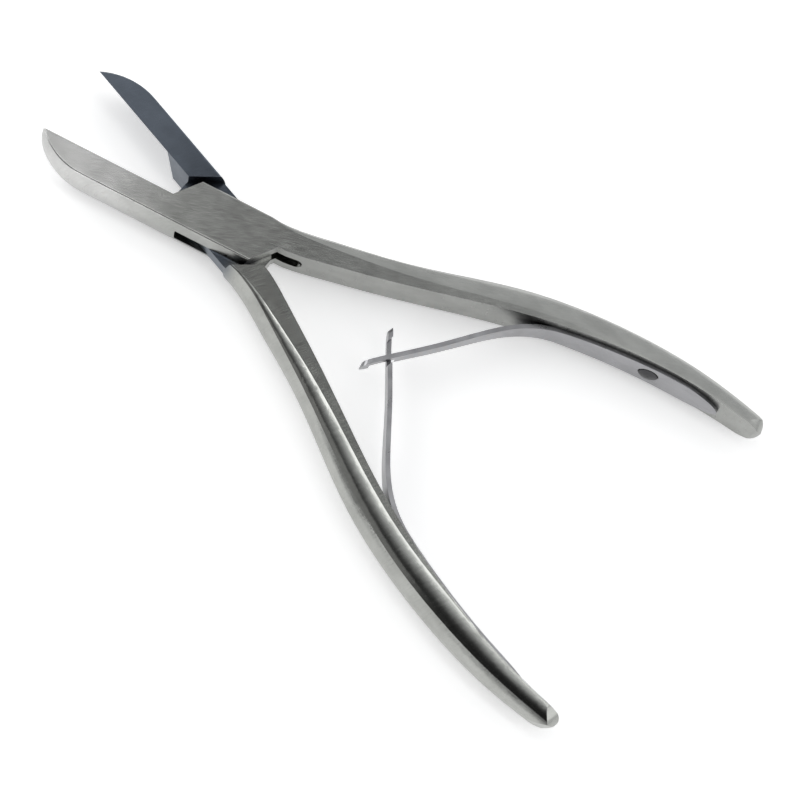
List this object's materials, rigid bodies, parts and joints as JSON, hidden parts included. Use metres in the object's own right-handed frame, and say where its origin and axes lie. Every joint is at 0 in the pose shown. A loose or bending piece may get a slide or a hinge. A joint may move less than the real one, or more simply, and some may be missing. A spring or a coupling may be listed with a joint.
{
  "type": "spring nipper",
  "caption": "Box-joint hand nipper with straight blades, curved grips and crossed leaf springs that hold it open.",
  "frame": {"origin": "on the pivot axis, at the underside of the box joint", "axes": "+Z along the pivot axis, +X midway between the handles, -X midway between the blades"},
  "size_m": [0.1343, 0.072, 0.0093],
  "materials": {
    "lever_steel": "satin stainless steel, finely brushed",
    "spring_steel": "satin spring steel",
    "screw_steel": "dull dark steel"
  },
  "bodies": {
    "lever_a_body": {"lever_a": "lever_steel", "pivot_pin": "lever_steel", "spring_a": "spring_steel", "spring_screw_a": "screw_steel"},
    "lever_b_body": {"lever_b": "lever_steel", "spring_b": "spring_steel", "spring_screw_b": "screw_steel"}
  },
  "joints": [
    {"name": "pivot", "type": "hinge", "parent": "lever_a_body", "child": "lever_b_body", "pos_m": [0, 0, 0.00385], "axis": [0, 0, 1], "range_deg": [0, 24], "stiffness_Nm_per_rad": 3, "deforming": ["spring_a", "spring_b"]}
  ]
}
